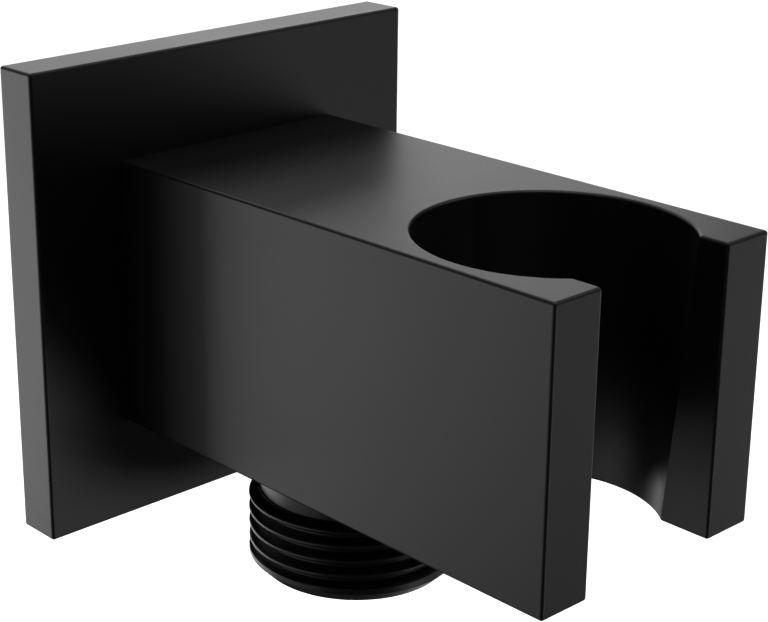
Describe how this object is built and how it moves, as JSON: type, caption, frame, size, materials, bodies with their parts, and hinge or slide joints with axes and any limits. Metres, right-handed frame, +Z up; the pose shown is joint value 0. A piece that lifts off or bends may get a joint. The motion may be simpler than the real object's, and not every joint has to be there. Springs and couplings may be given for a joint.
{
  "type": "wall outlet elbow",
  "caption": "Square wall outlet elbow for a shower hose: wall plate, angled waterway to a threaded outlet, and a tapered, slotted hand-shower holder in its front end.",
  "frame": {"origin": "where the inlet's axis crosses the wall, at the centre of the wall plate's back", "axes": "+Z up, +Y into the wall along the inlet, +X to the right as seen from the room; the outlet points along -Z"},
  "size_m": [0.047, 0.0735, 0.0495],
  "materials": {
    "black_coat": "matte black coat on brass",
    "bare_brass": "turned",
    "stainless": "plain",
    "gasket_foam": "closed-cell foam",
    "seal_rubber": "smooth"
  },
  "bodies": {
    "root": {"holder_body": "black_coat", "wall_plate": "black_coat", "outlet_nipple": "black_coat", "wall_nipple": "bare_brass", "lock_screw": "stainless", "wall_gasket": "gasket_foam", "spigot_o_ring": "seal_rubber", "outlet_o_ring": "seal_rubber", "plate_washer": "seal_rubber"}
  },
  "joints": []
}
